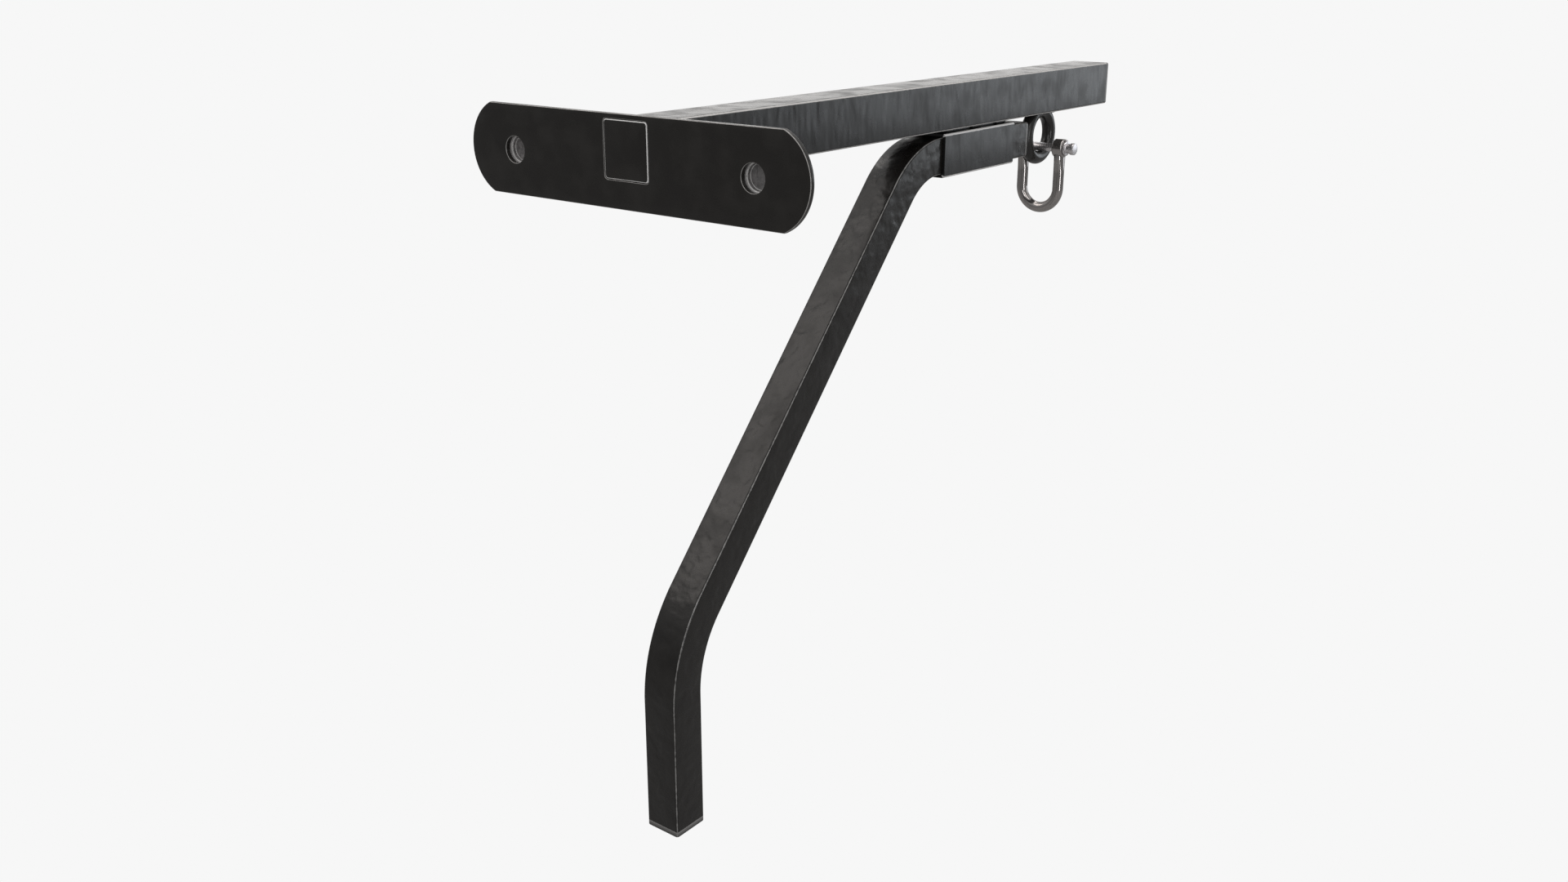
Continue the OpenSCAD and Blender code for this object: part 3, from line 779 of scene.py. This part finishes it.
ring_coat = powder_coat("ring_coat", (0.0190, 0.0180, 0.0170), 0.22, dent=0.2)
ring = solid("eye_ring_bar", [ring_patch()], sharp=50.0)
ring.data.materials.append(ring_coat)
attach(ring, "frame")
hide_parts("eye_ring")

foot = even_loop(outline(RING_WELD_HALF, RING_WELD_HALF[0] - 0.5, 24), 0.4)
ahead = np.roll(foot, -1, 0) - np.roll(foot, 1, 0)
ahead /= np.linalg.norm(ahead, axis=1, keepdims=True)
outward = np.stack([ahead[:, 1], -ahead[:, 0], np.zeros(len(ahead))], -1)
downward = np.tile([0.0, 0.0, -1.0], (len(foot), 1))
foot_path = np.stack([foot[:, 0], foot[:, 1] + RING_Y, np.full(len(foot), ARM_BOTTOM - 0.4)], -1)
ring_weld = solid("eye_ring_weld_bead", [bead(foot_path, RING_WELD_R, outward, downward, seed=7)])
ring_weld.data.materials.append(weld_coat)
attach(ring_weld, "frame")
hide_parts("eye_ring_welds")

# ----------------------------------------------------------------- shackle
# A forged steel bow polished bright: a round bar bent to a U whose legs flatten into two ears.
# The ears are bored for the pin.
BOW_X = -7.0
LEG_X = 24.5
BOW_BAR_R = 6.5
PIN_Z = -57.7
BOW_Z = -106.7
EAR_R = 11.0
EAR_HALF = 6.5
EAR_EDGE = 1.6
PIN_BORE = 5.05
LEG_GAP = 1.0
LEG_TOP = PIN_Z - PIN_BORE - LEG_GAP
LEG_WIDE = 9.0
BORE_EDGE = 0.6


def bow_patch():
    """The U: its section is a circle in the bend and widens smoothly as each leg runs up into its ear,
    where it stops below the bore."""
    a = np.linspace(math.pi, 2 * math.pi, 97)
    rise = np.linspace(0.0, 1.0, 41)[1:]
    leg = rise * (LEG_TOP - BOW_Z)
    ones = np.ones(len(rise))
    x = np.concatenate([(-LEG_X * ones)[::-1], LEG_X * np.cos(a), LEG_X * ones])
    z = np.concatenate([(BOW_Z + leg)[::-1], BOW_Z + LEG_X * np.sin(a), BOW_Z + leg])
    heading = np.concatenate([np.full(len(rise), math.pi), a, np.full(len(rise), 2 * math.pi)])
    grow = np.concatenate([rise[::-1], np.zeros(len(a)), rise])
    grow = np.clip((grow - 0.45) / 0.5, 0.0, 1.0)
    grow = grow * grow * (3 - 2 * grow)
    wide = BOW_BAR_R + (LEG_WIDE - BOW_BAR_R) * grow
    thin = BOW_BAR_R + (EAR_HALF - 0.4 - BOW_BAR_R) * grow
    v = np.linspace(0.0, 2 * math.pi, 49)[:-1]
    circle = np.stack([np.cos(v), np.sin(v)], -1)
    section = circle[None] * np.stack([thin, wide], -1)[:, None, :]
    centres = np.stack([x + BOW_X, np.full(len(x), RING_Y), z], -1)
    radial = np.stack([np.cos(heading), np.zeros(len(x)), np.sin(heading)], -1)
    lateral = np.tile([0.0, 1.0, 0.0], (len(x), 1))
    body = carry(section, centres, radial, lateral)
    tips = np.stack([np.broadcast_to(centres[k], body[0].shape) for k in (0, -1)])
    return quads(np.concatenate([tips[:1], body, tips[1:]]), wrap_v=True)


def ear_patch(side):
    """Disc with a bore and rounded edges, turned round the pin's axis."""
    a = np.linspace(0.0, 2 * math.pi, 97)[:-1]
    turn = np.linspace(0.0, math.pi / 2, 7)
    rim = [(EAR_R - EAR_EDGE * (1 - math.sin(t)), -EAR_HALF + EAR_EDGE * (1 - math.cos(t))) for t in turn]
    rim += [(r, -x) for r, x in reversed(rim)]
    bore = [(PIN_BORE + BORE_EDGE, -EAR_HALF), (PIN_BORE, -EAR_HALF + BORE_EDGE)]
    profile = [bore[1], bore[0]] + rim + [(r, -x) for r, x in bore]
    rows = [(BOW_X + side * LEG_X + x, a, np.full(len(a), r)) for r, x in profile]
    return quads(along_x(rows, RING_Y, PIN_Z), wrap_u=True, wrap_v=True)


def polished(name, color, roughness):
    """Polished steel: soft scratches along every way, faint tarnish and small dull spots."""
    steel = Finish(name, color, roughness, metallic=0.9)
    fine = steel.noise(420.0, 6.0)
    dull = steel.band(steel.noise(70.0, 4.0), 0.48, 0.74)
    spots = steel.band(steel.noise(520.0, 1.0), 0.68, 0.76)
    tone = steel.mix(dull * 0.6, color, tuple(c * 0.78 for c in color))
    tone = steel.mix(spots * 0.5, tone, (0.22, 0.21, 0.20))
    steel.drive(Base_Color=tone, Roughness=dull * 0.10 + spots * 0.15 + roughness)
    steel.bump((steel.noise(60.0, 1.0), 0.12, 0.0003), (fine, 0.10, 0.00004))
    return steel.material


bright_steel = polished("polished_steel", (0.36, 0.34, 0.33), 0.08)
bow = solid("shackle_u_bow", [bow_patch(), ear_patch(-1), ear_patch(1)], sharp=40.0)
bow.data.materials.append(bright_steel)
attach(bow, "shackle")
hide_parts("shackle_bow")

# ------------------------------------------------------------- shackle pin
# A turned steel pin with a collar that stops against the ear, a neck and a flat-faced head.
# Its far end is threaded, and a small lug on the collar is for the tommy bar.
PIN_R = 5.0
COLLAR = (8.5, -38.3, -40.8)
NECK_R = 5.75
HEAD = (7.0, -45.8, -51.3)
PIN_TIP = 25.0
LUG_R = 1.7
LUG_RISE = 9.0
LUG_FOOT = 6.0


def pin_patch():
    """Profile of radii along X turned round the pin's axis, with rounded edges on collar, head and tip."""
    a = np.linspace(0.0, 2 * math.pi, 73)[:-1]
    hr, h0, h1 = HEAD
    cr, c0, c1 = COLLAR
    profile = [(0.0, h1), (hr - 1.2, h1), (hr - 0.5, h1 + 0.15), (hr - 0.1, h1 + 0.5), (hr, h1 + 1.0),
               (hr, h0 - 0.8), (hr - 0.2, h0 - 0.3), (hr - 0.7, h0), (NECK_R + 0.4, h0), (NECK_R, h0 + 0.4),
               (NECK_R, c1 - 0.4), (NECK_R + 0.4, c1), (cr - 0.6, c1), (cr - 0.15, c1 + 0.2), (cr, c1 + 0.6),
               (cr, c0 - 0.6), (cr - 0.15, c0 - 0.2), (cr - 0.6, c0), (PIN_R + 0.3, c0), (PIN_R, c0 + 0.3),
               (PIN_R, PIN_TIP - 13.0)]
    rows = [(x, a, np.full(len(a), r)) for r, x in profile]
    for x in np.arange(PIN_TIP - 12.5, PIN_TIP - 1.0, THREAD_PITCH / 6):
        wave = np.abs(((x / THREAD_PITCH - a / (2 * math.pi)) % 1.0) * 2 - 1)
        rows.append((x, a, PIN_R - THREAD_DEPTH * wave))
    rows += [(PIN_TIP - 0.6, a, np.full(len(a), PIN_R - 0.5)), (PIN_TIP, a, np.full(len(a), PIN_R - 1.2)),
             (PIN_TIP, a, np.zeros(len(a)))]
    return quads(along_x(rows, RING_Y, PIN_Z), wrap_v=True)


def lug_patch():
    """Small round-ended stud: a circle carried up from the collar and closed by a dome."""
    a = np.linspace(0.0, 2 * math.pi, 25)[:-1]
    dome = np.linspace(0.2, math.pi / 2, 7)
    shank = LUG_RISE - LUG_FOOT
    rise = np.concatenate([[0.0, 0.0], [shank], shank + LUG_R * np.sin(dome)])
    radius = np.concatenate([[0.0, LUG_R], [LUG_R], LUG_R * np.cos(dome)])
    x = (COLLAR[1] + COLLAR[2]) / 2 + radius[:, None] * np.cos(a)
    y = RING_Y + radius[:, None] * np.sin(a)
    z = np.broadcast_to((PIN_Z + LUG_FOOT + rise)[:, None], x.shape)
    return quads(np.stack([x, y, z], -1), wrap_v=True)


pin_steel = polished("pin_steel", (0.66, 0.64, 0.65), 0.26)
pin = solid("shackle_turned_pin", [pin_patch(), lug_patch()], sharp=30.0)
pin.data.materials.append(pin_steel)
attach(pin, "pin")
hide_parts("shackle_pin")

# ------------------------------------------------------- stage, light, camera
# A pale floor, soft light from large panels, and the camera behind the wall plate. The camera sees floor
# and sky as one even pale tone; the bracket is lit by darker ones, so that its black coat stays black.
FLOOR_Z = -0.80
FLOOR_HALF = 30
FLOOR_BOUNCE = 0.30
BACKDROP = 0.93
SKY_LOW = 0.18
SKY_HIGH = 0.85


def panel(name, place, aim, size, power, color):
    """Large soft light at a place, facing a point."""
    light = bpy.data.lights.new(name, "AREA")
    light.shape = "RECTANGLE"
    light.size, light.size_y = size
    light.energy = power
    light.color = color
    lamp = bpy.data.objects.new(name, light)
    lamp.location = place
    direction = np.array(aim) - np.array(place)
    flat = math.hypot(direction[0], direction[1])
    turn = math.atan2(direction[1], direction[0]) - math.pi / 2
    lamp.rotation_euler = (math.atan2(flat, -direction[2]), 0.0, turn)
    bpy.context.scene.collection.objects.link(lamp)


floor_mesh = bpy.data.meshes.new("floor")
floor_corners = [(x * FLOOR_HALF, y * FLOOR_HALF, FLOOR_Z) for x, y in ((-1, -1), (1, -1), (1, 1), (-1, 1))]
floor_mesh.from_pydata(floor_corners, [], [(0, 1, 2, 3)])
floor = bpy.data.objects.new("floor", floor_mesh)
bpy.context.scene.collection.objects.link(floor)
pale = Finish("pale_floor", (FLOOR_BOUNCE, FLOOR_BOUNCE, FLOOR_BOUNCE), 0.9, specular=0.0)
seen = pale.node("ShaderNodeLightPath")["Is Camera Ray"]
even = pale.node("ShaderNodeEmission", {}, {"Color": (BACKDROP, BACKDROP, BACKDROP, 1.0)})["Emission"]
blend = pale.node("ShaderNodeMixShader", {}, {0: seen, 1: Value(pale, pale.shader.outputs[0]), 2: even})[0]
pale.tree.links.new(blend.socket, pale.tree.nodes["Material Output"].inputs["Surface"])
floor.data.materials.append(pale.material)

world = bpy.data.worlds.new("studio")
bpy.context.scene.world = world
world.use_nodes = True
sky = world.node_tree
height = sky.nodes.new("ShaderNodeSeparateXYZ")
sky.links.new(sky.nodes.new("ShaderNodeTexCoord").outputs["Generated"], height.inputs[0])
ramp = sky.nodes.new("ShaderNodeMapRange")
for socket, value in (("From Min", -0.1), ("From Max", 0.9), ("To Min", SKY_LOW), ("To Max", SKY_HIGH)):
    ramp.inputs[socket].default_value = value
sky.links.new(height.outputs["Z"], ramp.inputs["Value"])
choose = sky.nodes.new("ShaderNodeMix")
choose.inputs["B"].default_value = BACKDROP
sky.links.new(sky.nodes.new("ShaderNodeLightPath").outputs["Is Camera Ray"], choose.inputs["Factor"])
sky.links.new(ramp.outputs["Result"], choose.inputs["A"])
sky.links.new(choose.outputs["Result"], sky.nodes["Background"].inputs["Strength"])
sky.nodes["Background"].inputs["Color"].default_value = (1.0, 1.0, 1.0, 1.0)
# Name, place, aim, width and height in metres, power in watts, colour.
PANELS = (
    ("top_panel", (0.4, -0.9, 2.4), (0.0, -0.5, 0.0), (2.0, 2.0), 40.0, (1.0, 0.95, 0.91)),
    ("far_panel", (-1.9, -4.2, 0.3), (0.0, -0.8, 0.0), (2.2, 1.8), 20.0, (0.90, 0.95, 1.0)),
    ("side_panel", (2.6, -4.0, 0.35), (0.0, -0.4, 0.0), (2.6, 2.1), 18.0, (1.0, 0.98, 0.96)),
    ("left_strip", (-2.8, 0.3, -0.3), (0.0, -0.7, -0.1), (0.28, 1.8), 16.0, (0.97, 0.98, 1.0)),
    ("back_panel", (1.9, 1.3, 2.2), (0.0, -0.25, -0.3), (1.6, 1.6), 14.0, (1.0, 0.93, 0.88)),
    ("key_strip", (-1.5, 1.7, 0.9), (0.0, -0.7, -0.1), (0.3, 1.4), 7.0, (1.0, 1.0, 1.0)),
    ("rim_panel", (-1.6, 0.2, 1.6), (0.0, -0.5, -0.1), (0.5, 2.0), 7.0, (1.0, 0.97, 0.94)),
)
for light_row in PANELS:
    panel(*light_row)
bpy.context.scene.view_settings.view_transform = "Standard"

CAMERA_AT = (-0.8418, 0.8556, 0.1667)
CAMERA_YAW = math.radians(141.78)
CAMERA_PITCH = math.radians(19.062)
CAMERA_SENSOR = 36.0
CAMERA_LENS = 32.51
camera_data = bpy.data.cameras.new("camera")
camera_data.sensor_width = CAMERA_SENSOR
camera_data.lens = CAMERA_LENS
camera = bpy.data.objects.new("camera", camera_data)
camera.location = CAMERA_AT
camera.rotation_euler = (math.pi / 2 - CAMERA_PITCH, 0.0, -CAMERA_YAW)
bpy.context.scene.collection.objects.link(camera)
bpy.context.scene.camera = camera
